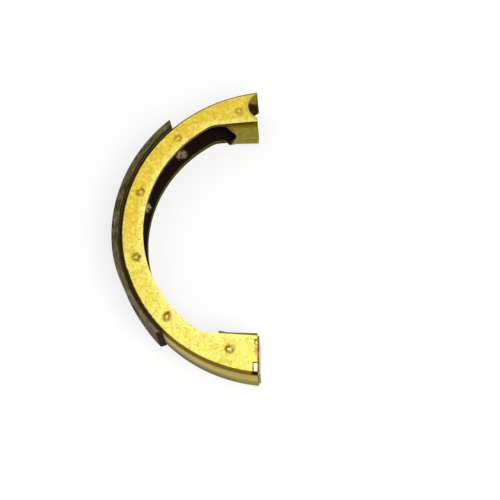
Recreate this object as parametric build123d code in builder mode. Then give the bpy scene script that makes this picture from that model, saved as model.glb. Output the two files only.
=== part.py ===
from build123d import *
import math
import os

# Drum brake shoe for an 8 inch drum: two nested pressed channels, spot-welded together,
# with a riveted lining.  Millimetres.  The Z axis is the drum's axis and Z = 0 is the
# shoe's mid-width.  +Y points at the anchor pin end and -Y at the cam end.

# ---- driving dimensions ------------------------------------------------------------
drum_r = 101.6            # inside radius of the drum
running_gap = 0.3         # from the released lining to the drum
lining_t = 5.3
lining_side = 0.6         # the lining overhangs each side plate by this
shoe_w = 26.0             # over the two side plates
sheet = 1.6               # thickness of both pressed channels
bend_r = 2.0              # outside radius of their bends

plate_depth = 14.3        # from the table's outside to the inner edge of the side plates
pivot_x = -10.5           # where the anchor pin end stops
pivot_inset = 8.2         # their straight edge at the anchor pin end lies this far inside the curve...
pivot_rise = 1.9          # ...and this much further where the two meet
pivot_corner_r = 12.0     # the round corner there
cam_face_x = -9.9         # face that the cam pushes on
cam_inset = 10.3          # the straight edge at the cam end lies this far inside the curve...
cam_rise = 2.9            # ...and this much further where the two meet
cam_corner_r = 4.0        # the round corner there

flange_gap = 3.4          # the inner channel's flanges stop this far short of the table
flange_setback = 0.3      # and their inner edges lie this far inside the side plates' edges
web_proud = 0.7           # its web stands this far out past the side plates' edges...
web_flare = 1.0           # ...and flares by this much more where it is cut away
flare_run = 6.0           # over this length
pivot_web_cut = 7.8       # the web is cut away this far from the curve at the anchor pin end
cam_web_cut = 10.3        # and this far from it at the cam end
web_hollow = 7.0          # depth of the vee in the web's cut end
web_vee_r = 3.0           # its rounded tip

pin_r = 9.5               # anchor pin
pin_clearance = 0.2
pin_x = -6.6              # centre of the anchor pin
saddle_t = 1.6            # half-round saddle that rides on the pin

wear_t = 1.2              # hardened plate on the cam end
wear_round = 1.0          # its bent edges
wear_gap = 0.3            # from its foot to the underside of the table
tab_gap = 0.6             # beside each tab, in its notch in the side plate
inner_tab_at = 2.9        # the inner tab starts this far from the side plates' edge
inner_tab = 2.1           # its width
inner_tab_length = 2.3    # past the cam face
outer_tab_at = 0.2        # the outer tab ends this far from the foot of the wear plate
outer_tab = 5.0
outer_tab_length = 3.4
outer_notch_foot = 1.4    # its notch runs on this far past the foot, into the bend

lining_ends = [(132.8, 131.4), (224.8, 223.7)]  # degrees, at its inner and outer face
rivet_turns = [-32.4, -20.3, 0.0, 20.3, 32.4]   # degrees from the middle of the lining
rivet_row = 6.0           # the rows lie this far each side of mid-width
rivet_shank_r = 1.9
rivet_play = 0.05
rivet_head_r = 4.0
rivet_head_t = 1.0
rivet_tail_r = 3.0
rivet_tail_t = 0.8
rivet_bore_r = 1.2        # the tubular end, open on the inside
rivet_bore_depth = 3.4
rivet_dish_r = 1.5        # set mark in the head
rivet_dish_depth = 0.4
sink_r = 4.7              # counterbore in the lining
sink_floor = 2.0          # lining left under each rivet head

weld_first = 105.4        # degrees to the first spot weld
weld_step = 29.1
weld_count = 6
weld_r = 87.6             # spot welds lie on this radius round the middle...
weld_end_r = 84.2         # ...and on this one at both ends
weld_mark_r = 2.3         # ring that the electrode leaves
weld_pip_r = 0.8          # and the pip inside it
weld_depth = 0.3

# ---- worked out from them ----------------------------------------------------------
lining_r = drum_r - running_gap
table_r = lining_r - lining_t
table_in_r = table_r - sheet
plate_r = table_r - plate_depth      # inner edge of the side plates, round the middle
pivot_edge = plate_r - pivot_inset   # height of the straight inner edge at the anchor pin end
cam_edge = plate_r - cam_inset       # and at the cam end
inner_flange_r = table_in_r - flange_gap
half_w = shoe_w / 2
inner_half_w = half_w - sheet
hollow_half_w = inner_half_w - sheet
web_arm = 2 * bend_r                 # the web's section turns up this far into each flange
flange_foot = 1.5 * bend_r           # and the flanges start here, clear of its bends
lining_half_w = half_w + lining_side
cam_x = cam_face_x - wear_t
wear_foot = math.sqrt(table_in_r**2 - cam_x**2) - wear_gap
# each tab: from, to, length past the cam face, and where its notch ends
tabs = [
    (cam_edge + inner_tab_at, cam_edge + inner_tab_at + inner_tab, inner_tab_length,
     cam_edge + inner_tab_at + inner_tab + tab_gap),
    (wear_foot - outer_tab_at - outer_tab, wear_foot - outer_tab_at, outer_tab_length,
     wear_foot + outer_notch_foot),
]
seat_r = pin_r + pin_clearance
saddle_r = seat_r + saddle_t
past = 1.1 * lining_r     # beyond everything

# the pin's seat just meets the underside of the table at the end of the shoe
pin_y = math.sqrt(table_in_r**2 - pivot_x**2) - math.sqrt(seat_r**2 - (pivot_x - pin_x)**2)
# the saddle ends where its outside meets the underside of the table
pin_reach = math.hypot(pin_x, pin_y)
saddle_turn = math.acos((table_in_r**2 - pin_reach**2 - saddle_r**2) / (2 * pin_reach * saddle_r))
saddle_top = pin_y + saddle_r * math.sin(math.atan2(pin_y, pin_x) + saddle_turn)

lining_middle = (lining_ends[0][0] + lining_ends[1][0]) / 2
weld_angles = [weld_first + weld_step * i for i in range(weld_count)]
weld_spots = [
    ((weld_end_r if i in (0, weld_count - 1) else weld_r) * math.cos(math.radians(angle)),
     (weld_end_r if i in (0, weld_count - 1) else weld_r) * math.sin(math.radians(angle)))
    for i, angle in enumerate(weld_angles)
]


def on_arc(radius, degrees):
    """Point on a circle round the drum's axis."""
    return (radius * math.cos(math.radians(degrees)), radius * math.sin(math.radians(degrees)))


def curve_x(radius, height):
    """X where a circle round the drum's axis crosses a height, on the shoe's side."""
    return -math.sqrt(radius**2 - height**2)


def rivet_plane(turn, row):
    """Plane on the drum's axis that faces out along a rivet."""
    angle = math.radians(lining_middle + turn)
    out = Vector(math.cos(angle), math.sin(angle), 0)
    return Plane(origin=(0, 0, row), x_dir=(0, 0, 1), z_dir=out)


pivot_low = pivot_edge - pivot_rise
cam_low = cam_edge - cam_rise
pivot_curve_x = curve_x(plate_r, pivot_low)
cam_curve_x = curve_x(plate_r, cam_low)
pivot_web_x = pivot_curve_x + pivot_web_cut
cam_web_x = cam_curve_x + cam_web_cut
rivet_rows = [rivet_row if i % 2 == 0 else -rivet_row for i in range(len(rivet_turns))]
rivet_planes = [rivet_plane(turn, row) for turn, row in zip(rivet_turns, rivet_rows)]
sink_r_floor = table_r + sink_floor                  # the counterbore's floor, from the axis
tail_seat = math.sqrt(table_in_r**2 - rivet_tail_r**2)   # where the tail meets the curved table


def edge_height(x, end_x, end_height, curve_x_here, curve_height):
    """Height of a side plate's straight inner edge above the axis, at x."""
    share = (x - end_x) / (curve_x_here - end_x)
    return end_height + share * (curve_height - end_height)


# ---- outer channel: the table and both side plates ---------------------------------
with BuildPart() as outer_channel:
    section_depth = min(pivot_low, cam_low) - 2 * sheet
    with BuildSketch(Plane.XZ) as channel_section:
        with BuildLine():
            FilletPolyline(
                (section_depth, -half_w), (table_r, -half_w), (table_r, half_w), (section_depth, half_w),
                radius=bend_r,
            )
            offset(amount=sheet, side=Side.LEFT)
        make_face()
    revolve(axis=Axis.Z)
    # everything inside the plates' inner edge and beyond both ends is cut away
    with BuildSketch() as waste:
        with BuildLine():
            Polyline(
                (cam_curve_x, -cam_low), (cam_x, -cam_edge), (cam_x, -past), (past, -past),
                (past, past), (pivot_x, past), (pivot_x, pivot_edge), (pivot_curve_x, pivot_low),
            )
            ThreePointArc((pivot_curve_x, pivot_low), (-plate_r, 0), (cam_curve_x, -cam_low))
        make_face()
        fillet(vertices().sort_by_distance((pivot_curve_x, pivot_low))[0], radius=pivot_corner_r)
        fillet(vertices().sort_by_distance((cam_curve_x, -cam_low))[0], radius=cam_corner_r)
    extrude(amount=half_w, both=True, mode=Mode.SUBTRACT)
    # seat for the anchor pin's saddle, through both plates
    with BuildSketch() as pin_notch:
        with Locations((pin_x, pin_y)):
            Circle(saddle_r)
        with Locations((pin_x, saddle_top)):
            Rectangle(2 * saddle_r, 2 * saddle_r, align=(Align.CENTER, Align.MIN), mode=Mode.SUBTRACT)
        with Locations((pin_x, pin_y)):
            Circle(seat_r)
    extrude(amount=half_w, both=True, mode=Mode.SUBTRACT)
    # notches for the wear plate's tabs, in both plates
    with BuildSketch() as tab_notches:
        for low, high, length, notch_foot in tabs:
            with Locations((cam_face_x - length - tab_gap, -low + tab_gap)):
                Rectangle(length + past, notch_foot - low + tab_gap, align=(Align.MIN, Align.MAX))
    for side in (half_w - sheet, -half_w):
        extrude(tab_notches.sketch.moved(Location((0, 0, side))), amount=sheet, mode=Mode.SUBTRACT)
    # rivet holes in the table
    for plane in rivet_planes:
        with BuildSketch(plane.offset(table_in_r - sheet)):
            Circle(rivet_shank_r + rivet_play)
        extrude(amount=3 * sheet, mode=Mode.SUBTRACT)
    # electrode marks of the spot welds, on both faces
    for face, depth in ((half_w, -weld_depth), (-half_w, weld_depth)):
        with BuildSketch(Plane.XY.offset(face)):
            with Locations(*weld_spots):
                Circle(weld_mark_r)
                Circle(weld_pip_r, mode=Mode.SUBTRACT)
        extrude(amount=depth, mode=Mode.SUBTRACT)
outer_channel.part.label = "outer_channel"

# ---- inner channel: lines both side plates, closes the box at both ends -------------
with BuildPart() as inner_channel:
    inner_edge_r = plate_r + flange_setback
    web_ends = [
        (1, pivot_x, pivot_edge, pivot_curve_x, pivot_low, pivot_web_x),
        (-1, cam_x, cam_edge, cam_curve_x, cam_low, cam_web_x),
    ]
    foot_runs = []
    for up, end_x, end_edge, far_x, far_edge, web_x in web_ends:
        flare_x = web_x + flare_run
        flare_edge = edge_height(flare_x, end_x, end_edge, far_x, far_edge)
        cut_edge = edge_height(web_x, end_x, end_edge, far_x, far_edge)
        # the web's outer face, from the end of the shoe to where it is cut away
        web_run = [
            (end_x, end_edge - web_proud),
            (flare_x, flare_edge - web_proud),
            (web_x, cut_edge - web_proud - web_flare),
        ]
        for (from_x, from_height), (to_x, to_height) in zip(web_run, web_run[1:]):
            web_plane = Plane(origin=(from_x, up * from_height, 0), x_dir=(0, 0, up), z_dir=(-1, 0, 0))
            slope = Vector(to_x - from_x, up * (to_height - from_height), 0)
            with BuildSketch(web_plane) as web_section:
                with BuildLine():
                    FilletPolyline(
                        (-inner_half_w, web_arm), (-inner_half_w, 0), (inner_half_w, 0), (inner_half_w, web_arm),
                        radius=bend_r,
                    )
                    offset(amount=sheet, side=Side.LEFT)
                make_face()
            extrude(amount=slope.length, dir=slope.normalized())
        # vee in the web's cut end
        with BuildSketch(Plane.XZ.offset(-up * (cut_edge - web_proud - web_flare - sheet))):
            with BuildLine():
                FilletPolyline(
                    (web_x - web_hollow, hollow_half_w), (web_x, hollow_half_w), (web_x + web_hollow, 0),
                    (web_x, -hollow_half_w), (web_x - web_hollow, -hollow_half_w),
                    radius=web_vee_r, close=True,
                )
            make_face()
        extrude(amount=-up * 4 * sheet, mode=Mode.SUBTRACT)
        # under the web the flanges start clear of its bends, and beyond it they follow the plates
        foot = [(x, up * (height + flange_foot)) for x, height in web_run]
        foot.append((web_x, up * (cut_edge + flange_setback)))
        foot.append((curve_x(inner_edge_r, far_edge + flange_setback), up * (far_edge + flange_setback)))
        foot_runs.append(foot)
    # the flanges that are welded to the side plates
    with BuildSketch(Plane.XY.offset(hollow_half_w)) as flange_outline:
        with BuildLine():
            pivot_foot, cam_foot = foot_runs
            pivot_top = (pivot_x, math.sqrt(inner_flange_r**2 - pivot_x**2))
            cam_top = (cam_x, -math.sqrt(inner_flange_r**2 - cam_x**2))
            Polyline(pivot_top, *pivot_foot)
            ThreePointArc(pivot_foot[-1], (-inner_edge_r, 0), cam_foot[-1])
            Polyline(*reversed(cam_foot), cam_top)
            ThreePointArc(cam_top, (-inner_flange_r, 0), pivot_top)
        make_face()
        fillet(vertices().sort_by_distance(pivot_foot[-1])[0], radius=pivot_corner_r)
        fillet(vertices().sort_by_distance(cam_foot[-1])[0], radius=cam_corner_r)
    extrude(amount=sheet)
    mirror(about=Plane.XY)
    # seat for the anchor pin's saddle
    extrude(pin_notch.sketch, amount=half_w, both=True, mode=Mode.SUBTRACT)
    # weld marks on the inside faces
    for face, depth in ((hollow_half_w, weld_depth), (-hollow_half_w, -weld_depth)):
        with BuildSketch(Plane.XY.offset(face)):
            with Locations(*weld_spots):
                Circle(weld_mark_r)
                Circle(weld_pip_r, mode=Mode.SUBTRACT)
        extrude(amount=depth, mode=Mode.SUBTRACT)
inner_channel.part.label = "inner_channel"

# ---- half-round saddle that rides on the anchor pin ---------------------------------
with BuildPart() as pivot_saddle:
    with BuildSketch() as saddle_ring:
        with Locations((pin_x, pin_y)):
            Circle(saddle_r)
            Circle(seat_r, mode=Mode.SUBTRACT)
        with Locations((pivot_x, pin_y)):
            Rectangle(4 * saddle_r, 4 * saddle_r, align=(Align.MIN, Align.CENTER), mode=Mode.SUBTRACT)
        with Locations((pin_x, saddle_top)):
            Rectangle(2 * saddle_r, 2 * saddle_r, align=(Align.CENTER, Align.MIN), mode=Mode.SUBTRACT)
    extrude(amount=half_w, both=True)
pivot_saddle.part.label = "pivot_saddle"

# ---- hardened plate that the cam pushes on ------------------------------------------
with BuildPart() as cam_wear_plate:
    tab_face = inner_half_w + wear_t      # outer face of the tabs
    with BuildSketch() as tab_outline:
        for low, high, length, notch_foot in tabs:
            with Locations((cam_face_x, -low)):
                Rectangle(length, high - low, align=(Align.MAX, Align.MAX))
    extrude(amount=tab_face, both=True)
    with BuildSketch() as plate_outline:
        with Locations((cam_face_x, -cam_edge)):
            Rectangle(wear_t, wear_foot - cam_edge, align=(Align.MAX, Align.MAX))
    extrude(amount=tab_face, both=True)
    face_edges = edges().filter_by(Axis.Y).group_by(Axis.X)[-1]
    fillet(face_edges, wear_round)
    with BuildSketch() as between_tabs:
        with Locations((cam_x, -cam_edge)):
            Rectangle(past, wear_foot - cam_edge, align=(Align.MAX, Align.MAX))
    extrude(amount=inner_half_w, both=True, mode=Mode.SUBTRACT)
cam_wear_plate.part.label = "cam_wear_plate"

# ---- friction lining ----------------------------------------------------------------
with BuildPart() as lining:
    with BuildSketch() as lining_side_view:
        (top_in, top_out), (foot_in, foot_out) = lining_ends
        with BuildLine():
            ThreePointArc(on_arc(table_r, top_in), on_arc(table_r, lining_middle), on_arc(table_r, foot_in))
            Line(on_arc(table_r, foot_in), on_arc(lining_r, foot_out))
            ThreePointArc(on_arc(lining_r, foot_out), on_arc(lining_r, lining_middle), on_arc(lining_r, top_out))
            Line(on_arc(lining_r, top_out), on_arc(table_r, top_in))
        make_face()
    extrude(amount=lining_half_w, both=True)
    for plane in rivet_planes:
        with BuildSketch(plane.offset(sink_r_floor)):
            Circle(sink_r)
        extrude(amount=2 * lining_t, mode=Mode.SUBTRACT)
        with BuildSketch(plane.offset(table_in_r)):
            Circle(rivet_shank_r + rivet_play)
        extrude(amount=2 * lining_t, mode=Mode.SUBTRACT)
lining.part.label = "lining"

# ---- tubular rivets: heads sunk in the lining, tails rolled over under the table ----
rivets = []
for number, plane in enumerate(rivet_planes, start=1):
    with BuildPart() as rivet:
        with BuildSketch(plane.offset(sink_r_floor)):
            Circle(rivet_head_r)
        extrude(amount=rivet_head_t)
        with BuildSketch(plane.offset(tail_seat)):
            Circle(rivet_shank_r)
        extrude(amount=sink_r_floor - tail_seat)
        with BuildSketch(plane.offset(tail_seat - rivet_tail_t)):
            Circle(rivet_tail_r)
        extrude(amount=rivet_tail_t)
        fillet(edges().filter_by(GeomType.CIRCLE).sort_by_distance((0, 0, 0))[0], rivet_tail_t / 2)
        with BuildSketch(plane.offset(tail_seat - rivet_tail_t)):
            Circle(rivet_bore_r)
        extrude(amount=rivet_bore_depth, mode=Mode.SUBTRACT)
        with BuildSketch(plane.offset(sink_r_floor + rivet_head_t)):
            Circle(rivet_dish_r)
        extrude(amount=-rivet_dish_depth, mode=Mode.SUBTRACT)
    rivet.part.label = f"rivet_{number}"
    rivets.append(rivet)

# ---- one file for each piece --------------------------------------------------------
os.makedirs("parts", exist_ok=True)
for piece in (outer_channel, inner_channel, pivot_saddle, cam_wear_plate, lining, *rivets):
    export_step(piece.part, f"parts/{piece.part.label}.step")
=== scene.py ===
import math
import bmesh
import bpy
import numpy as np
from mathutils import Matrix, Vector


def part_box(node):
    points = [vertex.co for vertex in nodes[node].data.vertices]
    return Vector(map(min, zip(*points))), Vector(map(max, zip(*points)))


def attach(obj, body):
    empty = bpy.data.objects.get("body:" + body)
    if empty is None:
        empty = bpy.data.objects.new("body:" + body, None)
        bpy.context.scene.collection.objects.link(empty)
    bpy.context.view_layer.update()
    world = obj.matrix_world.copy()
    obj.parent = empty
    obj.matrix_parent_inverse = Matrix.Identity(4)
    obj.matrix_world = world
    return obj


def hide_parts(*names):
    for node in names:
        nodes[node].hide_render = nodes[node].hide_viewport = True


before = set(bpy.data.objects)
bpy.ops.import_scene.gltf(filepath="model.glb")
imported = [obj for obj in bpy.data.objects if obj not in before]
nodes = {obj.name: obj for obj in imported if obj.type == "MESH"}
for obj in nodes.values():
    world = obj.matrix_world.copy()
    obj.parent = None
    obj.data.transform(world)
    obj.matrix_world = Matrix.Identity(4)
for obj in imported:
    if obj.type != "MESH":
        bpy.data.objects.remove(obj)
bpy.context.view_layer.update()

# Drum brake shoe lying on its side: plated pressings, riveted friction lining, pin saddle, cam wear plate.
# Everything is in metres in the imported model's frame: the drum's axis is Z, the anchor pin end is +Y and the
# lining faces -X. Patterns and shapes are worked out in millimetres.
scene = bpy.context.scene
mm = 1000.0
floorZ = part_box("lining")[0].z
shoe = {
    "tableR": -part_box("outer_channel")[0].x * mm,   # outside of the curved table
    "halfW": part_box("outer_channel")[1].z * mm,     # half the width over the side plates
    "liningHalfW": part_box("lining")[1].z * mm,
    "sheet": 1.6,
    "plateR": 81.7,                  # inner edge of the side plates round the middle...
    "pivotEdge": (0.066, 74.2),      # ...its straight run at the anchor pin end: y = 0.066 x + 74.2...
    "camEdge": (0.087, 72.4),        # ...and at the cam end: -y = 0.087 x + 72.4
}
hollowZ = shoe["halfW"] - 2 * shoe["sheet"]         # half the width inside both channels
print("frame loaded, table radius %.1f mm" % shoe["tableR"])


# a colour is written as on a screen, 0-255, and a shader takes it linear: ((c + 0.055) / 1.055) ^ 2.4,
# or c / 12.92 when dark
def linear(colour):
    c = np.array(colour, float) / 255
    dark, bright = c / 12.92, ((c + 0.055) / 1.055) ** 2.4
    return (*np.where(c > 0.04045, bright, dark), 1.0)


# node helpers: an argument is a socket or a plain value
def addNode(tree, kind, inputs=None, **settings):
    node = tree.nodes.new(kind)
    for name, value in settings.items():
        setattr(node, name, value)
    for name, value in (inputs or {}).items():
        if isinstance(value, bpy.types.NodeSocket):
            tree.links.new(value, node.inputs[name])
        else:
            node.inputs[name].default_value = value
    return node


def calc(tree, operation, *values, clamp=False):
    inputs = dict(enumerate(values))
    return addNode(tree, "ShaderNodeMath", inputs, operation=operation, use_clamp=clamp).outputs[0]


def calcVector(tree, operation, *values):
    outputs = addNode(tree, "ShaderNodeVectorMath", dict(enumerate(values)), operation=operation).outputs
    return outputs["Value" if operation in ("LENGTH", "DISTANCE", "DOT_PRODUCT") else "Vector"]


def times(tree, *values):
    product = values[0]
    for value in values[1:]:
        product = calc(tree, "MULTIPLY", product, value)
    return product


def without(tree, value, taken):   # a value where a mask is 0
    return calc(tree, "MULTIPLY", value, calc(tree, "SUBTRACT", 1.0, taken))


def between(tree, value, low, high):   # 0 at low, 1 at high, with a soft start and end
    inputs = {0: value, 1: low, 2: high}
    return addNode(tree, "ShaderNodeMapRange", inputs, interpolation_type="SMOOTHSTEP").outputs[0]


def band(tree, value, centre, width):   # 1 at centre, falling to 0 at width on either side
    away = calc(tree, "ABSOLUTE", calc(tree, "SUBTRACT", value, centre))
    return between(tree, away, width, 0.0)


def atDepth(tree, at, top, depths):   # 0 at the first depth below a height over mid-width, 1 at the second
    return between(tree, at["height"], top - depths[0], top - depths[1])


def spread(tree, value, low, high):   # a noise's usual 0.3 to 0.7 spread over a range
    return addNode(tree, "ShaderNodeMapRange", {0: value, 1: 0.3, 2: 0.7, 3: low, 4: high}).outputs[0]


def mix(tree, share, first, second):   # two colours, each a socket or a screen colour
    first, second = (c if isinstance(c, bpy.types.NodeSocket) else linear(c) for c in (first, second))
    return addNode(tree, "ShaderNodeMix", {0: share, 6: first, 7: second}, data_type="RGBA").outputs[2]


def noise(tree, place, scale, detail=3.0, rough=0.55, stretch=None, distort=0.0):
    if stretch:
        place = calcVector(tree, "MULTIPLY", place, stretch)
    inputs = {"Vector": place, "Scale": scale, "Detail": detail, "Roughness": rough, "Distortion": distort}
    return addNode(tree, "ShaderNodeTexNoise", inputs).outputs["Fac"]


# noise patterns by name, each from (where it lies, scale, detail, roughness, stretch, distortion)
def makePatterns(tree, at, settings):
    return {name: noise(tree, at[place], *values) for name, (place, *values) in settings.items()}


# lays tints on a colour, each (pattern, its value where the tint starts, where it is full, share, colour)
def layTints(tree, colour, patterns, tints):
    for name, start, full, share, tint in tints:
        colour = mix(tree, times(tree, between(tree, patterns[name], start, full), share), colour, tint)
    return colour


def newMaterial(name):
    material = bpy.data.materials.new(name)
    material.use_nodes = True
    tree = material.node_tree
    return material, tree, tree.nodes["Principled BSDF"]


# where a point is on the shoe: its place, radius from the drum's axis, distance along the arc from the
# middle, height over mid-width, and how far its surface faces out from the axis (1) or in towards it (-1)
def shoePlace(tree):
    coordinates = addNode(tree, "ShaderNodeTexCoord").outputs
    place = calcVector(tree, "MULTIPLY", coordinates["Object"], (mm, mm, mm))
    x, y, z = addNode(tree, "ShaderNodeSeparateXYZ", {0: place}).outputs
    flat = addNode(tree, "ShaderNodeCombineXYZ", {0: x, 1: y}).outputs[0]
    radius = calcVector(tree, "LENGTH", flat)
    turn = calc(tree, "ARCTAN2", y, calc(tree, "MULTIPLY", x, -1.0))
    arc = calc(tree, "MULTIPLY", turn, shoe["tableR"])
    along = addNode(tree, "ShaderNodeCombineXYZ", {0: arc, 1: z, 2: radius}).outputs[0]
    facing = calcVector(tree, "DOT_PRODUCT", coordinates["Normal"], calcVector(tree, "NORMALIZE", flat))
    facingX = addNode(tree, "ShaderNodeSeparateXYZ", {0: coordinates["Normal"]}).outputs[0]
    return {
        "place": place, "flat": flat, "along": along, "x": x, "y": y, "z": z, "radius": radius, "arc": arc,
        "height": calc(tree, "ABSOLUTE", z), "facing": facing, "facingX": facingX,
    }


# links colour, roughness and a chain of bumps, each (height, distance in metres, strength), over edges that
# are rounded by edgeR metres
def finishShader(tree, shader, colour, rough, bumps, metallic, specular=0.5, edgeR=0.0):
    tree.links.new(colour, shader.inputs["Base Color"])
    tree.links.new(rough, shader.inputs["Roughness"])
    normal = addNode(tree, "ShaderNodeBevel", {"Radius": edgeR}, samples=6).outputs[0] if edgeR else None
    for height, distance, strength in bumps:
        inputs = {"Height": height, "Distance": distance, "Strength": strength}
        if normal is not None:
            inputs["Normal"] = normal
        normal = addNode(tree, "ShaderNodeBump", inputs).outputs[0]
    tree.links.new(normal, shader.inputs["Normal"])
    if isinstance(metallic, bpy.types.NodeSocket):
        tree.links.new(metallic, shader.inputs["Metallic"])
    else:
        shader.inputs["Metallic"].default_value = metallic
    shader.inputs["Specular IOR Level"].default_value = specular


# plated steel, on both channels
plating = {
    "patterns": {
        "cloud": ("place", 0.07, 4.0, 0.6),
        "tint": ("place", 0.21, 3.0, 0.6, None, 0.8),
        "blotch": ("place", 0.50, 3.0, 0.7),
        "fine": ("place", 1.7, 3.0, 0.75),
        "grain": ("place", 1.0, 3.0, 0.7),
        "broad": ("place", 0.12, 2.0),
        "breaks": ("place", 0.40, 2.0),
    },
    "gold": (224, 195, 48),          # towards the anchor pin end
    "litGold": (244, 232, 112),     # towards the cam end, paler as painted light
    "fadeY": (35.0, -85.0),          # painted light pales the gold between these...
    "mottle": (1.2, -0.6),           # ...in clouds: factor and offset of their noise
    "rim": (255, 248, 150), "rimHighlightW": 6.0, "rimHighlightShare": 0.7,    # painted highlight along the plates' inner edge
    "amber": (232, 176, 62), "amberAt": (0.51, 0.66),
    "amberShare": (-0.35, 0.65),     # less of it towards the cam: change and start
    "tints": (
        ("tint", 0.47, 0.33, 0.55, (200, 186, 44)),      # green
        ("blotch", 0.50, 0.66, 0.46, (176, 144, 32)),    # dull spots...
        ("blotch", 0.48, 0.34, 0.46, (255, 248, 150)),   # ...and bright ones
        ("grain", 0.53, 0.70, 0.36, (176, 144, 32)),
        ("fine", 0.49, 0.32, 0.40, (255, 248, 150)),
    ),
    "endFace": (86, 72, 24), "endFacing": (0.8, 0.9),
    "inward": (-0.5, -0.85),         # a surface faces in towards the drum's axis from here
    "inside": (28, 17, 4), "violet": (32, 15, 15),       # inside of the box, where no plating reached
    "insideAt": (0.45, 0.65),
    "insideRough": 0.3,              # how much rougher it is
    "roughness": (0.40, 0.60),
    "metallic": 0.55,
    "specular": 0.12,
    "broadBump": (0.0008, 0.15),
    "grainBump": (0.00012, 0.35),
    "edgeR": 0.00035,
}
welds = {
    "firstTurn": 105.4, "step": 29.1,                    # degrees
    "radius": 87.6, "endRadius": 84.2,                   # mm
    "strength": (0.45, 0.55, 0.8, 0.95, 1.0, 1.2),       # how dark each mark is, from the anchor pin end
    "warp": 3.4, "warpScale": 0.42,                      # how far their outlines wander, and how finely
    "depth": (1.0, 0.5),                                 # the marks lie on the outer faces only
    "ring": (120, 92, 12), "ringR": (1.9, 1.9),          # its radius and half width
    "halo": (190, 146, 36), "haloR": (4.4, 1.9), "haloShare": 0.50,
    "centre": (255, 244, 150), "centreR": (1.0, 0.4), "centreShare": 0.8,
    "heat": (226, 202, 168), "heatR": (4.4, 1.8), "heatShare": 1.3,   # heat marks on the inside
    "breaks": (3.2, -0.95),                              # how broken the marks are: factor and offset
}


# for each spot weld: its distance in millimetres, seen along Z, from a place shifted a little by noise, and
# how strong its mark is
def weldDistances(tree, at):
    inputs = {"Vector": at["place"], "Scale": welds["warpScale"], "Detail": 3.0}
    drift = addNode(tree, "ShaderNodeTexNoise", inputs).outputs["Color"]
    drift = calcVector(tree, "SUBTRACT", drift, (0.5, 0.5, 0.5))
    warped = calcVector(tree, "MULTIPLY_ADD", drift, (welds["warp"], welds["warp"], 0.0), at["flat"])
    gaps = []
    for i, strength in enumerate(welds["strength"]):
        angle = math.radians(welds["firstTurn"] + i * welds["step"])
        r = welds["endRadius"] if i in (0, len(welds["strength"]) - 1) else welds["radius"]
        spot = (r * math.cos(angle), r * math.sin(angle), 0.0)
        gaps.append((calcVector(tree, "DISTANCE", warped, spot), strength))
    return gaps


# the greatest of a mark's value over all the welds
def weldMarks(tree, gaps, shape, limits):
    most = None
    for gap, strength in gaps:
        mark = calc(tree, "MULTIPLY", shape(tree, gap, *limits), strength)
        most = mark if most is None else calc(tree, "MAXIMUM", most, mark)
    return most


# distance from the inner edge of the side plates, into the plate: the greatest of those from the two
# straight runs and from the arc
def rimDistance(tree, at):
    pivotGap = calc(tree, "SUBTRACT", at["y"], calc(tree, "MULTIPLY_ADD", at["x"], *shoe["pivotEdge"]))
    down = calc(tree, "MULTIPLY", at["y"], -1.0)
    camGap = calc(tree, "SUBTRACT", down, calc(tree, "MULTIPLY_ADD", at["x"], *shoe["camEdge"]))
    straight = calc(tree, "MAXIMUM", pivotGap, camGap)
    return calc(tree, "MAXIMUM", straight, calc(tree, "SUBTRACT", at["radius"], shoe["plateR"]))


# cloudy gold, paler towards the cam as painted light, with a painted highlight along the inner edge, amber and
# green tints, spots and grain
def goldColour(tree, at, patterns):
    p = plating
    clouds = calc(tree, "MULTIPLY_ADD", patterns["cloud"], *p["mottle"])
    # painted light: the gold pales towards the cam
    towardsCam = calc(tree, "ADD", between(tree, at["y"], *p["fadeY"]), clouds)
    colour = mix(tree, towardsCam, p["gold"], p["litGold"])
    # painted highlight along the plates' inner edge
    rim = times(tree, between(tree, rimDistance(tree, at), p["rimHighlightW"], 0.0), p["rimHighlightShare"])
    colour = mix(tree, rim, colour, p["rim"])
    amberShare = calc(tree, "MULTIPLY_ADD", towardsCam, *p["amberShare"])
    amber = times(tree, between(tree, patterns["tint"], *p["amberAt"]), amberShare)
    colour = mix(tree, amber, colour, p["amber"])
    return layTints(tree, colour, patterns, p["tints"])


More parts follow.
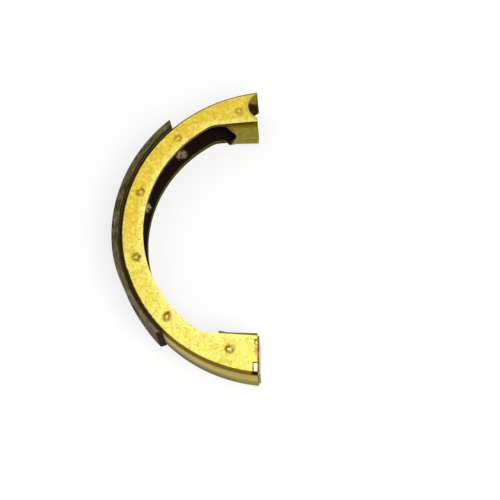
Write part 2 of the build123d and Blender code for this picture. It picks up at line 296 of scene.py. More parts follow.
# the shared finish: gold with weld marks, what areas() adds for one channel, and the dark inside of the box
def platedSteel(name, faceZ, areas):
    material, tree, shader = newMaterial(name)
    at = shoePlace(tree)
    p = plating
    patterns = makePatterns(tree, at, p["patterns"])
    colour = goldColour(tree, at, patterns)
    gaps = weldDistances(tree, at)
    broken = calc(tree, "MULTIPLY_ADD", patterns["breaks"], *welds["breaks"], clamp=True)
    onPlate = atDepth(tree, at, faceZ, welds["depth"])
    halo = times(tree, weldMarks(tree, gaps, between, welds["haloR"]), welds["haloShare"], onPlate)
    colour = mix(tree, halo, colour, welds["halo"])
    ring = times(tree, weldMarks(tree, gaps, band, welds["ringR"]), broken)
    colour = mix(tree, calc(tree, "MULTIPLY", ring, onPlate, clamp=True), colour, welds["ring"])
    centre = times(tree, weldMarks(tree, gaps, between, welds["centreR"]), welds["centreShare"], onPlate)
    colour = mix(tree, centre, colour, welds["centre"])
    inward = between(tree, at["facing"], *p["inward"])
    colour, inside, dulled = areas(tree, at, inward, colour)
    endFace = between(tree, at["facingX"], *p["endFacing"])
    colour = mix(tree, endFace, colour, p["endFace"])
    # the inside of the box stayed dark, but for the heat marks behind the welds
    inside = without(tree, inside, endFace)
    dark = mix(tree, between(tree, patterns["broad"], *p["insideAt"]), p["inside"], p["violet"])
    colour = mix(tree, inside, colour, dark)
    heat = times(tree, weldMarks(tree, gaps, between, welds["heatR"]), broken, welds["heatShare"])
    colour = mix(tree, calc(tree, "MULTIPLY", heat, inside, clamp=True), colour, welds["heat"])
    dull = calc(tree, "MAXIMUM", inside, dulled)
    metallic = calc(tree, "MULTIPLY_ADD", dull, -p["metallic"], p["metallic"])
    rough = spread(tree, patterns["grain"], *p["roughness"])
    rough = calc(tree, "MULTIPLY_ADD", inside, p["insideRough"], rough)
    bumps = [(patterns["broad"], *p["broadBump"]), (patterns["grain"], *p["grainBump"])]
    finishShader(tree, shader, colour, rough, bumps, metallic, p["specular"], p["edgeR"])
    return material


# outer channel: the table with its two side plates
outerLook = {
    "patterns": {
        "streak": ("along", 1.0, 4.0, 0.6, (0.03, 0.8, 0.8)),
        "wander": ("along", 0.03, 2.0),
    },
    # the table's outside: tan, duller than the plates, and darker partly as painted shade where it turns away
    # from the light
    "table": (206, 182, 66), "outward": (0.55, 0.9),
    "green": (180, 172, 44),         # low down, towards the cam
    "greenZ": (-1.0, -5.0), "greenArc": (-105.0, -125.0),
    "streak": (152, 140, 40), "streakAt": (0.42, 0.66), "streakShare": 0.6,
    "line": (94, 76, 14),            # painted shade along both edges of the table
    "highLine": (7.5, 10.8), "highShare": 0.9,
    "lowLine": (2.5, -9.0), "lowShare": (0.8, 1.1), "lineWander": 4.0,
    "lineArc": (-140.0, -105.0), "lineFade": (0.45, 0.5),    # the lower one is weaker towards the cam
    "edge": (60, 50, 14),            # sheared edges of the lower plate, darker as painted shade...
    "nearEdge": (134, 112, 30),      # ...and of the upper one
    "edgeHeight": (11.0, 11.3), "nearZ": (0.0, 1.0),
    "bend": (70, 50, 4),             # painted shade in the gap round the outer bends
    "bendFrom": (0.12, 0.35), "bendTo": (0.999, 0.93),
    # the painted shade in the bends is lighter towards the anchor pin end and the cam end
    "paleBend": (126, 108, 34), "paleBendY": (63.0, 78.0),
    "camBend": (116, 94, 8), "camBendY": (-66.0, -74.0),
    "insideR": (90.0, 90.8),         # the dark inside starts past the inner channel's flanges...
    "insideDepth": (0.9, 1.1),       # ...and under the plates' outer faces...
    "tableDepth": (0.8, 0.3),        # ...and ends under the table's: share of the sheet, softness
    "rimInside": 0.95,               # share of the edges' colour on the plates' inner faces further in
    "pinX": (-13.2, -12.8), "pinY": (0.0, 50.0), "pinDepth": (0.4, 0.6),   # table beside the anchor pin
    # painted shade: darker low down, deeper in the anchor pin's notch
    "pinShade": (28, 17, 4), "pinPale": (130, 115, 26), "pinZ": (-3.0, 3.0),
    "gap": (30, 16, 2),              # painted shade and some dirt in the crevice under the lower tab of the wear plate
    "gapX": (-14.9, -14.5), "gapY": (-93.3, -93.6), "gapFrom": (10.7, 11.0), "gapTo": (12.98, 12.9),
    "stain": (206, 158, 92), "stainX": (-13.2, -12.2), "stainY": (-80.6, 5.0),   # heat between the tabs
}


# outside of the table and how dark it is: tan with streaks, greener low down towards the cam, with painted
# shade along its upper edge and along its lower edge, which is weaker towards the cam
def tableColour(tree, at):
    p = outerLook
    patterns = makePatterns(tree, at, p["patterns"])
    drift = times(tree, calc(tree, "SUBTRACT", patterns["wander"], 0.5), p["lineWander"])
    z = calc(tree, "ADD", at["z"], drift)
    green = times(tree, between(tree, z, *p["greenZ"]), between(tree, at["arc"], *p["greenArc"]))
    colour = mix(tree, green, p["table"], p["green"])
    streaks = times(tree, between(tree, patterns["streak"], *p["streakAt"]), p["streakShare"])
    colour = mix(tree, streaks, colour, p["streak"])
    # painted shade along the table's lower and upper edges
    fade = calc(tree, "MULTIPLY_ADD", between(tree, at["arc"], *p["lineArc"]), *p["lineFade"])
    low = times(tree, between(tree, z, *p["lowLine"]), spread(tree, patterns["streak"], *p["lowShare"]), fade)
    high = times(tree, between(tree, at["z"], *p["highLine"]), p["highShare"])
    dark = calc(tree, "MAXIMUM", low, high, clamp=True)
    return mix(tree, dark, colour, p["line"]), dark


# the outer channel's own areas: gives its colour, where the dark inside of the box is, and where it is dull
def outerAreas(tree, at, inward, colour):
    p = outerLook
    outward = between(tree, at["facing"], *p["outward"])
    outside, tableShade = tableColour(tree, at)
    colour = mix(tree, outward, colour, outside)
    # the lower plate's sheared edges darker as painted shade
    edgeColour = mix(tree, between(tree, at["z"], *p["nearZ"]), p["edge"], p["nearEdge"])
    edges = times(tree, inward, between(tree, at["height"], *p["edgeHeight"]))
    colour = mix(tree, edges, colour, edgeColour)
    # painted shade round the outer bends
    bend = times(tree, between(tree, at["facing"], *p["bendFrom"]), between(tree, at["facing"], *p["bendTo"]))
    bendColour = mix(tree, between(tree, at["y"], *p["paleBendY"]), p["bend"], p["paleBend"])
    bendColour = mix(tree, between(tree, at["y"], *p["camBendY"]), bendColour, p["camBend"])
    colour = mix(tree, bend, colour, bendColour)
    dulled = calc(tree, "MAXIMUM", times(tree, tableShade, outward), bend)
    # inside of the table and plates, as far as the inner channel's flanges reach
    fromTable, softness = p["tableDepth"]
    tableInside = shoe["tableR"] - fromTable * shoe["sheet"]
    withinPlates = atDepth(tree, at, shoe["halfW"], p["insideDepth"])
    inside = times(tree, between(tree, at["radius"], tableInside, tableInside - softness),
                   between(tree, at["radius"], *p["insideR"]), withinPlates)
    nearRim = between(tree, at["radius"], *reversed(p["insideR"]))
    rimInside = times(tree, withinPlates, nearRim, p["rimInside"])
    colour = mix(tree, rimInside, colour, p["edge"])
    # the table's inside is plated beside the anchor pin, with painted shade darkening it low down, deeper in
    # the notch
    besidePin = times(tree, between(tree, at["x"], *p["pinX"]), between(tree, at["y"], *p["pinY"]))
    inside = without(tree, inside, besidePin)
    pinColour = mix(tree, between(tree, at["z"], *p["pinZ"]), p["pinShade"], p["pinPale"])
    besidePin = times(tree, besidePin, inward, atDepth(tree, at, shoe["halfW"], p["pinDepth"]))
    colour = mix(tree, besidePin, colour, pinColour)
    # painted shade and some dirt in the crevice under the wear plate's lower tab
    gap = times(tree, between(tree, at["x"], *p["gapX"]), between(tree, at["y"], *p["gapY"]),
                between(tree, at["height"], *p["gapFrom"]), between(tree, at["height"], *p["gapTo"]))
    colour = mix(tree, gap, colour, p["gap"])
    stain = times(tree, between(tree, at["x"], *p["stainX"]), band(tree, at["y"], *p["stainY"]))
    return mix(tree, stain, colour, p["stain"]), inside, dulled


# inner channel: its flanges between the side plates and a web at each end
innerLook = {
    "patterns": {
        "streak": ("place", 1.0, 4.0, 0.65, (0.9, 0.9, 0.10)),
        "blotch": ("place", 0.3, 3.0),
    },
    # olive web: plated gold with painted shade
    "web": (152, 140, 40), "webStreak": (130, 115, 26), "streakAt": (0.38, 0.68),
    "green": (200, 186, 44), "greenAt": (0.5, 0.75), "greenShare": 0.4,
    "bend": (70, 50, 4),             # painted shade round the web's bends
    "bendFacing": (-0.5, 0.48), "bendDepth": (0.6, 0.0), "bendShare": 0.4,
    "edge": (60, 50, 14),            # sheared edges beside the hollow
    "edgeDepth": (0.1, 0.0), "edgeR": (80.0, 81.5),
    "shadedLip": (106, 83, 6),             # painted shade on the flanges where they show past the side plates' edge
    "lipFrom": (1.2, 0.4),
    "lipShade": (-2.8, -0.8), "lipFacing": (-0.93, -0.55),   # all of it but the web's flat face
    # the painted shade on the flanges is lighter towards the cam end
    "camLip": (128, 118, 34), "camLipY": (40.0, -40.0),
    "insideDepth": (-0.9, -0.6), "insideFacing": (-0.6, -0.3),
}


# web: plated gold darkened to olive as painted shade, with fine streaks across the shoe
def webColour(tree, at):
    p = innerLook
    patterns = makePatterns(tree, at, p["patterns"])
    colour = mix(tree, between(tree, patterns["streak"], *p["streakAt"]), p["web"], p["webStreak"])
    green = times(tree, between(tree, patterns["blotch"], *p["greenAt"]), p["greenShare"])
    return mix(tree, green, colour, p["green"])


# the inner channel's own areas: its colour, where the dark inside of the box is, and where else it is dull
def innerAreas(tree, at, inward, colour):
    p = innerLook
    web = webColour(tree, at)
    colour = mix(tree, inward, colour, web)
    # painted shade round the web's bends
    bend = times(tree, band(tree, at["facing"], *p["bendFacing"]), atDepth(tree, at, hollowZ, p["bendDepth"]),
                 p["bendShare"])
    colour = mix(tree, bend, colour, p["bend"])
    edge = times(tree, inward, atDepth(tree, at, hollowZ, p["edgeDepth"]),
                 between(tree, at["radius"], *p["edgeR"]))
    colour = mix(tree, edge, colour, p["edge"])
    rim = rimDistance(tree, at)
    # painted shade on the flanges beside the plates' edge
    turned = between(tree, at["facing"], *p["lipFacing"])
    shade = calc(tree, "MAXIMUM", between(tree, rim, *p["lipShade"]), turned)
    lipShadeColour = mix(tree, shade, web, p["shadedLip"])
    lipShadeColour = mix(tree, between(tree, at["y"], *p["camLipY"]), lipShadeColour, p["camLip"])
    colour = mix(tree, between(tree, rim, *p["lipFrom"]), colour, lipShadeColour)
    inside = times(tree, atDepth(tree, at, hollowZ, p["insideDepth"]),
                   between(tree, at["facing"], *p["insideFacing"]))
    return colour, inside, 0.0


# friction lining
liningLook = {
    "patterns": {
        "layers": ("along", 1.0, 4.0, 0.65, (0.12, 1.0, 1.1)),
        "streak": ("along", 1.0, 3.0, 0.6, (0.25, 1.6, 1.6)),
        "patches": ("place", 0.09, 3.0),
        "grain": ("place", 1.4, 3.0, 0.75),
    },
    "base": (99, 96, 55), "dark": (54, 51, 26), "darkAt": (0.40, 0.60),
    "brown": (108, 88, 58), "brownAt": (0.46, 0.64), "brownShare": 0.35,
    "purple": (140, 118, 94),        # towards the cam end and on the outer face
    "purpleY": (-10.0, -55.0), "purpleShare": (0.2, 0.8),
    "outward": (0.6, 0.9), "outerShare": (0.35, 0.9),
    "fleckScale": 0.8,
    "tints": (
        ("streak", 0.52, 0.66, 0.7, (54, 51, 26)),
        ("streak", 0.46, 0.34, 0.45, (164, 156, 116)),
        ("fleck", 0.26, 0.12, 0.45, (164, 156, 116)),
        ("grain", 0.5, 0.70, 0.6, (54, 51, 26)),
    ),
    "plateShade": (34, 22, 2),        # painted shade: a dark band beside the side plates
    "nearPlateR": (1.9, 0.8), "nearPlateShare": 0.85,
    "sideDepth": (0.3, 0.1),
    # painted shade on the lining's end faces
    "endFace": (34, 15, 5), "endFacing": (0.8, 0.6), "endShare": 0.9,
    "roughness": (0.62, 0.88),
    "specular": 0.06,
    "layerBump": (0.0004, 0.3),
    "grainBump": (0.0002, 0.5),
    "edgeR": 0.0003,
    "middle": 178.8,                 # degrees from +X
    "liningT": 5.3,
    "wornT": 1.9,                    # how much thinner it is worn at the cam end...
    "wornFrom": (8.0, 38.0),         # ...between these angles from its middle
    "wornSkin": (0.6, 0.1),          # only points this near the outer face move
}


def frictionMaterial(name):
    material, tree, shader = newMaterial(name)
    at = shoePlace(tree)
    p = liningLook
    patterns = makePatterns(tree, at, p["patterns"])
    inputs = {"Vector": at["place"], "Scale": p["fleckScale"]}
    patterns["fleck"] = addNode(tree, "ShaderNodeTexVoronoi", inputs).outputs["Distance"]
    layers, patches = patterns["layers"], patterns["patches"]
    colour = mix(tree, between(tree, layers, *p["darkAt"]), p["base"], p["dark"])
    brown = times(tree, between(tree, patches, *p["brownAt"]), p["brownShare"])
    colour = mix(tree, brown, colour, p["brown"])
    towardsCam = times(tree, between(tree, at["y"], *p["purpleY"]), spread(tree, layers, *p["purpleShare"]))
    colour = mix(tree, towardsCam, colour, p["purple"])
    outward = between(tree, at["facing"], *p["outward"])
    outerFace = times(tree, outward, spread(tree, patches, *p["outerShare"]))
    colour = mix(tree, outerFace, colour, p["purple"])
    colour = layTints(tree, colour, patterns, p["tints"])
    side = atDepth(tree, at, shoe["liningHalfW"], p["sideDepth"])
    # painted shade in a band beside the side plates
    far, near = p["nearPlateR"]
    plateShade = between(tree, at["radius"], shoe["tableR"] + far, shoe["tableR"] + near)
    colour = mix(tree, times(tree, side, plateShade, p["nearPlateShare"]), colour, p["plateShade"])
    # painted shade on the end faces
    endFace = between(tree, calc(tree, "ABSOLUTE", at["facing"]), *p["endFacing"])
    colour = mix(tree, times(tree, without(tree, endFace, side), p["endShare"]), colour, p["endFace"])
    rough = spread(tree, patterns["grain"], *p["roughness"])
    bumps = [(layers, *p["layerBump"]), (patterns["grain"], *p["grainBump"])]
    finishShader(tree, shader, colour, rough, bumps, 0.0, p["specular"], p["edgeR"])
    return material


# saddle on the anchor pin: plain bearing steel, plated at its rims, with painted shade darkening its far half
saddleLook = {
    "patterns": {
        "patches": ("place", 0.35, 4.0, 0.6),
        "grain": ("place", 2.2, 3.0, 0.7),
    },
    "bore": (158, 141, 24), "boreDark": (92, 76, 12), "darkAt": (0.42, 0.66),
    # painted shade in the bore's far half, with paler patches
    "deepShade": (58, 40, 20), "paleDeepShade": (112, 86, 48), "sheenAt": (0.5, 0.68),
    "deepShadeAt": (2.5, -2.0),         # the painted shade begins here, and is full here, along the bore...
    "deepShadeTurn": 2.0,               # ...and further along it, the lower the wall lies
    "deepShadeTop": 93.3, "deepShadeRagged": 8.0,
    "rim": (204, 188, 86), "rimDepth": (0.25, 0.05),
    "roughness": (0.34, 0.55),
    "metallic": 0.35,
    "specular": 0.0,
    "grainBump": (0.0001, 0.3),
    "edgeR": 0.0003,
}


def saddleMaterial(name):
    material, tree, shader = newMaterial(name)
    at = shoePlace(tree)
    p = saddleLook
    patterns = makePatterns(tree, at, p["patterns"])
    patches = patterns["patches"]
    colour = mix(tree, between(tree, patches, *p["darkAt"]), p["bore"], p["boreDark"])
    # painted shade over the bore's far half, with a ragged edge
    lower = times(tree, calc(tree, "SUBTRACT", at["y"], p["deepShadeTop"]), p["deepShadeTurn"])
    ragged = times(tree, calc(tree, "SUBTRACT", patches, 0.5), p["deepShadeRagged"])
    limit = calc(tree, "ADD", calc(tree, "ADD", at["z"], lower), ragged)
    deepShaded = between(tree, limit, *p["deepShadeAt"])
    deepShade = mix(tree, between(tree, patches, *p["sheenAt"]), p["deepShade"], p["paleDeepShade"])
    colour = mix(tree, deepShaded, colour, deepShade)
    colour = mix(tree, atDepth(tree, at, shoe["halfW"], p["rimDepth"]), colour, p["rim"])
    rough = spread(tree, patterns["grain"], *p["roughness"])
    metallic = calc(tree, "MULTIPLY_ADD", deepShaded, -p["metallic"], p["metallic"])
    bumps = [(patterns["grain"], *p["grainBump"])]
    finishShader(tree, shader, colour, rough, bumps, metallic, p["specular"], p["edgeR"])
    return material


# wear plate across the cam end: tabs bright with a painted reflection, a brownish edge, rubbed where the cam
# works
wearLook = {
    "patterns": {
        "patches": ("place", 0.35, 4.0, 0.6),
        "grain": ("place", 2.4, 3.0, 0.7),
        "rubbed": ("place", 0.5, 3.0, 0.6, (1.0, 1.0, 0.08)),
    },
    # painted reflection: the tabs near white
    "tab": (255, 250, 226),
    "upperTab": (132, 112, 40), "upperY": (-79.5, -79.0),
    "spot": (-11.7, -75.7, 0.0), "spotR": (0.7, 1.3),    # painted highlight: the upper tab is bright in this spot only
    "edge": (206, 170, 92), "stain": (142, 104, 40), "stainAt": (0.42, 0.58),
    "edgeX": (-11.2, -11.0),         # the tabs are bright up to here, the bent edge is brown beyond
    "rim": (64, 40, 14), "rimX": (-10.6, -10.3),         # along the cam side of the bent edge
    "face": (176, 168, 146), "rub": (222, 219, 208), "rubAt": (0.4, 0.62),
    "faceX": (0.12, 0.02), "faceHeight": (12.3, 11.6),
    "roughness": (0.24, 0.42),
    "metallic": 0.7,
    "grainBump": (0.00006, 0.3),
    "edgeR": 0.0003,
}


def wearMaterial(name):
    material, tree, shader = newMaterial(name)
    at = shoePlace(tree)
    p = wearLook
    patterns = makePatterns(tree, at, p["patterns"])
    edge = mix(tree, between(tree, patterns["patches"], *p["stainAt"]), p["edge"], p["stain"])
    edge = mix(tree, between(tree, at["x"], *p["rimX"]), edge, p["rim"])
    # painted highlight on the upper tab, painted reflection on the lower one
    fromSpot = between(tree, calcVector(tree, "DISTANCE", at["flat"], p["spot"]), *p["spotR"])
    upper = times(tree, fromSpot, between(tree, at["y"], *p["upperY"]))
    tab = mix(tree, upper, p["tab"], p["upperTab"])
    colour = mix(tree, between(tree, at["x"], *p["edgeX"]), tab, edge)
    face = mix(tree, between(tree, patterns["rubbed"], *p["rubAt"]), p["face"], p["rub"])
    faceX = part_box("cam_wear_plate")[1].x * mm
    far, near = p["faceX"]
    onFace = times(tree, between(tree, at["x"], faceX - far, faceX - near),
                   between(tree, at["height"], *p["faceHeight"]))
    colour = mix(tree, onFace, colour, face)
    rough = spread(tree, patterns["grain"], *p["roughness"])
    bumps = [(patterns["grain"], *p["grainBump"])]
    finishShader(tree, shader, colour, rough, bumps, p["metallic"], edgeR=p["edgeR"])
    return material


# turned brass rivets: rounded heads with a set mark, tubular tails rolled over
rivetLook = {
    "patterns": {
        "patches": ("place", 0.5, 4.0, 0.6),
        "each": ("flat", 0.03, 1.0),
        "grain": ("place", 3.0, 2.0, 0.7),
    },
    "base": (226, 194, 104),
    "tints": (
        ("patches", 0.40, 0.70, 1.0, (164, 134, 58)),
        ("each", 0.50, 0.62, 0.6, (164, 134, 58)),       # some rivets are duller than others
        ("grain", 0.56, 0.72, 0.5, (96, 76, 34)),
    ),
    "roughness": (0.24, 0.44),
    "metallic": 0.9,
    "grainBump": (0.00008, 0.3),
    "turns": (-32.4, -20.3, 0.0, 20.3, 32.4),            # degrees from the lining's middle
    "row": 6.0,                                          # from mid-width, above and below in turn
    "seat": 2.0,                                         # counterbore's floor over the table
    "headR": 4.0, "headT": 1.0, "headEdge": (0.9, 0.5), "headFoot": 0.7,
    "dishR": 1.5, "dishDepth": 0.4, "dishFlat": 0.55, "dishEdge": (0.3, 0.35), "dishRim": (0.5, 0.02),
    "shankR": 1.9, "corner": 0.1, "tailCorner": 0.05,
    "tailR": 3.0, "tailT": 0.8, "tailEdge": 0.4,
    "boreR": 1.2, "boreDepth": 3.4, "boreEdge": 0.45, "boreCorner": 0.2,
    "around": 72,
}


def brassMaterial(name):
    material, tree, shader = newMaterial(name)
    at = shoePlace(tree)
    p = rivetLook
    patterns = makePatterns(tree, at, p["patterns"])
    colour = layTints(tree, p["base"], patterns, p["tints"])
    rough = spread(tree, patterns["grain"], *p["roughness"])
    finishShader(tree, shader, colour, rough, [(patterns["grain"], *p["grainBump"])], p["metallic"])
    return material


# profile points (radius, height) along a quarter of an ellipse between two angles
def curvePoints(centreR, centreH, r, h, fromTurn, toTurn, count):
    turn = np.radians(np.linspace(fromTurn, toTurn, count))
    return np.column_stack([centreR + r * np.cos(turn), centreH + h * np.sin(turn)])


# a rivet's outline as (radius, height over the drum's axis), from the middle of its head to its bore's floor
def rivetProfile():
    p = rivetLook
    headSeat = shoe["tableR"] + p["seat"]
    # the flat underside of the tail's rim touches the curved inside of the table
    tailSeat = math.sqrt((shoe["tableR"] - shoe["sheet"]) ** 2 - p["tailR"] ** 2)
    headTop, tailFoot = headSeat + p["headT"], tailSeat - p["tailT"]
    dish, boreFloor = headTop - p["dishDepth"], tailFoot + p["boreDepth"]
    dishEdgeR, dishEdgeH = p["dishEdge"]
    headEdgeR, headEdgeH = p["headEdge"]
    dishRimR, dishRimH = p["dishRim"]
    boreEdge, boreCorner, halfTail = p["boreEdge"], p["boreCorner"], p["tailT"] / 2
    return np.vstack([
        [(0.0, dish), (p["dishFlat"] * p["dishR"], dish)],
        curvePoints(p["dishR"] - dishEdgeR, headTop - dishEdgeH, dishEdgeR, dishEdgeH, -80, 60, 6),
        [(p["dishR"] + dishRimR, headTop - dishRimH)],
        curvePoints(p["headR"] - headEdgeR, headTop - headEdgeH, headEdgeR, headEdgeH, 90, -70, 12),
        [(p["headR"] - p["headFoot"], headSeat)],
        [(p["shankR"] + p["corner"], headSeat), (p["shankR"], headSeat - p["corner"])],
        [(p["shankR"], tailSeat + p["tailCorner"]), (p["shankR"] + p["corner"], tailSeat)],
        curvePoints(p["tailR"] - p["tailEdge"], tailSeat - halfTail, p["tailEdge"], halfTail, 80, -90, 10),
        curvePoints(p["boreR"] + boreEdge, tailFoot + boreEdge, boreEdge, boreEdge, 270, 180, 8),
        [(p["boreR"], boreFloor - boreCorner), (p["boreR"] - boreCorner, boreFloor), (0.0, boreFloor)],
    ])


# a rivet is its profile turned round its own axis, a line out from the drum's axis:
# point = row on Z + height * outward + radius * (cos a * up + sin a * across)
def makeRivet(number, turn, row, profile, material):
    angle = math.radians(liningLook["middle"] + turn)
    out = np.array([math.cos(angle), math.sin(angle), 0.0])
    up = np.array([0.0, 0.0, 1.0])
    across = np.cross(out, up)
    rows, count = len(profile), rivetLook["around"]
    a = np.linspace(0, 2 * math.pi, count, endpoint=False)
    ring = np.cos(a)[:, None] * up + np.sin(a)[:, None] * across
    points = row * up + profile[:, None, 1:2] * out + profile[:, None, 0:1] * ring
    i, j = np.meshgrid(np.arange(rows - 1), np.arange(count), indexing="ij")
    k = (j + 1) % count
    corners = [i * count + j, (i + 1) * count + j, (i + 1) * count + k, i * count + k]
    faces = np.stack(corners, -1).reshape(-1, 4)
    mesh = bpy.data.meshes.new("turned_rivet_%d" % number)
    mesh.from_pydata((points.reshape(-1, 3) / mm).tolist(), [], faces.tolist())
    closeSurface(mesh)
    piece = bpy.data.objects.new("turned_rivet_%d" % number, mesh)
    scene.collection.objects.link(piece)
    mesh.materials.append(material)
    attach(piece, "root")
    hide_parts("rivet_%d" % number)


# merges the doubled points at the poles, drops flat faces and turns all faces outwards
def closeSurface(mesh):
    work = bmesh.new()
    work.from_mesh(mesh)
    bmesh.ops.remove_doubles(work, verts=work.verts, dist=1e-6)
    bmesh.ops.dissolve_degenerate(work, edges=work.edges, dist=1e-7)
    bmesh.ops.recalc_face_normals(work, faces=work.faces)
    work.to_mesh(mesh)
    work.free()
    mesh.update()
    mesh.shade_smooth()


looks = {
    "outer_channel": platedSteel("platedOuter", shoe["halfW"], outerAreas),
    "inner_channel": platedSteel("platedInner", shoe["halfW"] - shoe["sheet"], innerAreas),
    "pivot_saddle": saddleMaterial("saddleSteel"),
    "cam_wear_plate": wearMaterial("wearSteel"),
    "lining": frictionMaterial("frictionLining"),
}
brass = brassMaterial("rivetBrass")
for name, node in nodes.items():
    node.data.materials.clear()
    node.data.materials.append(looks.get(name, brass))
print("materials on %d pieces" % len(nodes))

profile = rivetProfile()
for number, turn in enumerate(rivetLook["turns"], start=1):
    row = rivetLook["row"] if number % 2 else -rivetLook["row"]
    makeRivet(number, turn, row, profile, brass)
print("%d rivets" % len(rivetLook["turns"]))

# web of the inner channel: at both ends it stands further out of the box than as packed, and its cut end at
# the anchor pin is rounder
webShape = {
    "pivotOut": (1.8, 3.3),          # how far out, at its cut end and at the end of the shoe
    "camOut": (1.0, 1.9),
    "fade": (2.6, 7.5),              # the shift fades from the side plates' inner edge into the flanges
    "pivotX": (-33.5, -31.0),        # it starts at the web's cut ends
    "camX": (-36.3, -33.8),
    "endX": -10.5,
    "endY": 55.0,                    # nothing nearer to the shoe's middle moves or is cut
    "pin": (-6.6, 84.93), "pinR": (11.6, 12.0),          # nor beside the anchor pin's saddle
    # as packed, the web ends in a straight vee, from cutX at halfZ, above and below, to tipX at mid-width
    "cutX": -31.5, "tipX": -24.5, "halfZ": 9.8,
    "cutMove": (5.0, 2.2),           # how far the cut moves at halfZ, above and below mid-width...
    "round": (2.3, 1.3),             # ...and the power of its curve
    "tipMove": 0.6,
    "flangeX": 1.5,                  # points of the web's end lie this near to cutX or beyond
    "fadeX": 8.0,                    # the move fades over this length
    "lipMove": 0.3, "lipW": 1.6,     # its share at the plates' edge, and how soon it is whole above it
    "flangeFade": (0.5, 3.0),        # it ends here, inside the box
    "fineX": (-35.0, -14.0), "fineStep": 0.7, "fineStart": 0.35,   # planes that cut the web's faces finer
}


def smoothStep(value, low, high):   # 0 at low, 1 at high: 3 s^2 - 2 s^3
    share = np.clip((value - low) / (high - low), 0, 1)
    return share * share * (3 - 2 * share)


# shift in Y: out of the box by pivotOut or camOut, grown along X, faded into the flanges;
# shift in X, at the anchor pin end: from the vee to the curve cut + (tip - cut) * (1 - (|z| / halfZ) ^ round)
def proudWeb(points):
    p = webShape
    x, y, z = points.T
    pivotEnd = y > 0
    (pivotSlope, pivotEdge), (camSlope, camEdge) = shoe["pivotEdge"], shoe["camEdge"]
    rim = np.where(pivotEnd, y - (pivotEdge + pivotSlope * x), -y - (camEdge + camSlope * x))
    along = np.where(pivotEnd, smoothStep(x, *p["pivotX"]), smoothStep(x, *p["camX"]))
    pivotOut = np.interp(x, (p["pivotX"][1], p["endX"]), p["pivotOut"])
    camOut = np.interp(x, (p["camX"][1], p["endX"]), p["camOut"])
    clear = smoothStep(np.hypot(x - p["pin"][0], y - p["pin"][1]), *p["pinR"])
    out = np.where(pivotEnd, pivotOut, camOut) * (1 - smoothStep(rim, *p["fade"]))
    out = out * along * clear * (np.abs(y) > p["endY"])
    across = np.clip(np.abs(z) / p["halfZ"], 0, 1)
    vee = p["cutX"] + (p["tipX"] - p["cutX"]) * (1 - across)
    newCut = p["cutX"] + np.where(z > 0, *p["cutMove"])
    newTip = p["tipX"] + p["tipMove"]
    curve = newCut + (newTip - newCut) * (1 - across ** np.where(z > 0, *p["round"]))
    onWeb = pivotEnd * (x > p["cutX"] - p["flangeX"])
    moved = (curve - vee) * (1 - smoothStep(x - vee, 0.0, p["fadeX"])) * onWeb
    lipShare = p["lipMove"] + (1 - p["lipMove"]) * smoothStep(-rim, 0.0, p["lipW"])
    moved *= lipShare * (1 - smoothStep(rim, *p["flangeFade"]))
    return points + np.column_stack([moved, np.where(pivotEnd, -out, out), 0 * x])


# outer face of the lining: radius less the worn depth, which grows smoothly towards the cam end
def wornLining(points):
    p = liningLook
    radius = np.hypot(points[:, 0], points[:, 1])
    turn = np.degrees(np.arctan2(points[:, 1], points[:, 0])) % 360 - p["middle"]
    faceR = shoe["tableR"] + p["liningT"]
    outer = smoothStep(radius, faceR - p["wornSkin"][0], faceR - p["wornSkin"][1])
    share = 1 - outer * p["wornT"] * smoothStep(turn, *p["wornFrom"]) / radius
    return points * np.column_stack([share, share, np.ones(len(points))])


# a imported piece's own mesh, merged, cut finer by planes where Y is over fromY, with its points moved by a
# formula
def reshapedPiece(nodeName, pieceName, moved, cuts=(), fromY=0.0):
    mesh = nodes[nodeName].data.copy()
    mesh.name = pieceName
    work = bmesh.new()
    work.from_mesh(mesh)
    bmesh.ops.remove_doubles(work, verts=work.verts, dist=1e-7)
    for place, normal in cuts:
        near = [face for face in work.faces if face.calc_center_median().y > fromY / mm]
        edges = {edge for face in near for edge in face.edges}
        verts = {vert for face in near for vert in face.verts}
        bmesh.ops.bisect_plane(work, geom=[*near, *edges, *verts], plane_co=place, plane_no=normal, dist=1e-6)
    work.to_mesh(mesh)
    work.free()
    points = np.empty(3 * len(mesh.vertices))
    mesh.vertices.foreach_get("co", points)
    mesh.vertices.foreach_set("co", (moved(points.reshape(-1, 3) * mm) / mm).ravel())
    mesh.update()
    mesh.shade_smooth()
    mesh.set_sharp_from_angle(angle=sharpAngle)
    piece = bpy.data.objects.new(pieceName, mesh)
    scene.collection.objects.link(piece)
    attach(piece, "root")
    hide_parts(nodeName)


sharpAngle = math.radians(24)
reshapedPiece("lining", "worn_lining", wornLining)
fineX = np.arange(*webShape["fineX"], webShape["fineStep"]) / mm
fineZ = np.arange(webShape["fineStart"] - webShape["halfZ"], webShape["halfZ"], webShape["fineStep"]) / mm
webCuts = [((x, 0, 0), (1, 0, 0)) for x in fineX] + [((0, 0, z), (0, 0, 1)) for z in fineZ]
reshapedPiece("inner_channel", "pressed_inner_channel", proudWeb, webCuts, webShape["endY"])
print("lining and inner channel shaped")

# floor and light
studio = {
    "floorHalf": 3.0,
    "floorTone": 0.30,               # share of the floor's white that the light gives, with the shadow in it
    "floorGlow": 0.715,              # share that it shows by itself
    "worldStrength": 0.58,
    "aim": (-0.05, 0.0, 0.0),
    "softbox": {"place": (0.24, -0.36, 0.62), "size": 0.5, "power": 3.4},
    "fill": {"place": (-0.7, 0.7, 0.9), "size": 0.8, "power": 1.2},
}


def seenRay(tree):   # 1 for rays from the camera, a reflection or a transmission
    path = addNode(tree, "ShaderNodeLightPath").outputs
    seen = calc(tree, "MAXIMUM", path["Is Camera Ray"], path["Is Glossy Ray"])
    return calc(tree, "MAXIMUM", seen, path["Is Transmission Ray"])


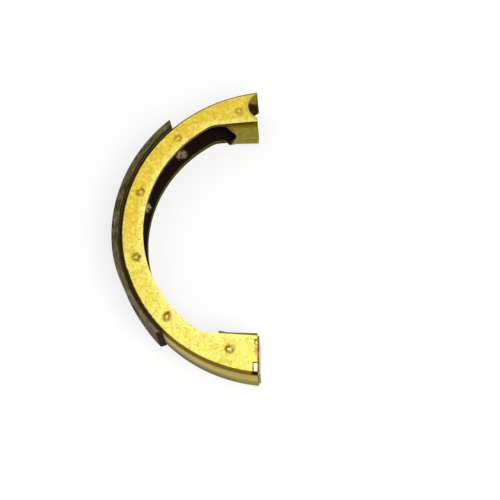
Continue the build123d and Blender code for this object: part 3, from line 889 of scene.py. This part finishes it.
# a flat square at the lining's lowest side, part matt, part glowing to whoever looks at it
def makeFloor():
    corners = np.array([(-1, -1), (1, -1), (1, 1), (-1, 1)], float) * studio["floorHalf"]
    mesh = bpy.data.meshes.new("floor")
    mesh.from_pydata(np.column_stack([corners, np.full(4, floorZ)]).tolist(), [], [(0, 1, 2, 3)])
    floor = bpy.data.objects.new("floor", mesh)
    scene.collection.objects.link(floor)
    material, tree, shader = newMaterial("floorWhite")
    tree.nodes.remove(shader)
    tone = studio["floorTone"]
    matt = addNode(tree, "ShaderNodeBsdfDiffuse", {"Color": (tone, tone, tone, 1)}).outputs[0]
    shine = calc(tree, "MULTIPLY", seenRay(tree), studio["floorGlow"])
    glow = addNode(tree, "ShaderNodeEmission", {"Color": (1, 1, 1, 1), "Strength": shine}).outputs[0]
    both = addNode(tree, "ShaderNodeAddShader", {0: matt, 1: glow}).outputs[0]
    tree.links.new(both, tree.nodes["Material Output"].inputs["Surface"])
    mesh.materials.append(material)


def makeLight():
    world = bpy.data.worlds.new("studio")
    scene.world = world
    world.use_nodes = True
    tree = world.node_tree
    back = tree.nodes["Background"].inputs
    levels = {0: seenRay(tree), 3: studio["worldStrength"], 4: 1.0}
    tree.links.new(addNode(tree, "ShaderNodeMapRange", levels).outputs[0], back["Strength"])
    back["Color"].default_value = (1, 1, 1, 1)
    for name in ("softbox", "fill"):
        lamp = bpy.data.lights.new(name, "AREA")
        lamp.shape = "SQUARE"
        lamp.size = studio[name]["size"]
        lamp.energy = studio[name]["power"]
        holder = bpy.data.objects.new(name, lamp)
        holder.location = studio[name]["place"]
        ray = Vector(studio["aim"]) - holder.location
        holder.rotation_euler = ray.to_track_quat("-Z", "Y").to_euler()
        scene.collection.objects.link(holder)


cameraSetup = {
    "sensor": 36.0, "lens": 82.92,
    "clip": (0.01, 50.0),
    "place": (0.01806, -0.29076, 0.66125),
    "azimuth": 6.924, "tilt": 23.101, "roll": -7.616,    # degrees
}


def makeCamera():
    p = cameraSetup
    data = bpy.data.cameras.new("camera")
    data.sensor_width = p["sensor"]
    data.lens = p["lens"]
    data.clip_start, data.clip_end = p["clip"]
    camera = bpy.data.objects.new("camera", data)
    camera.location = p["place"]
    azimuth = Matrix.Rotation(math.radians(p["azimuth"]), 3, "Z")
    tilt = Matrix.Rotation(math.radians(p["tilt"]), 3, "X")
    roll = Matrix.Rotation(math.radians(p["roll"]), 3, "Z")
    camera.rotation_euler = (azimuth @ tilt @ roll).to_euler()
    scene.collection.objects.link(camera)
    scene.camera = camera


makeFloor()
makeLight()
makeCamera()
scene.view_settings.view_transform = "Standard"
print("floor, light and camera")

print("done")
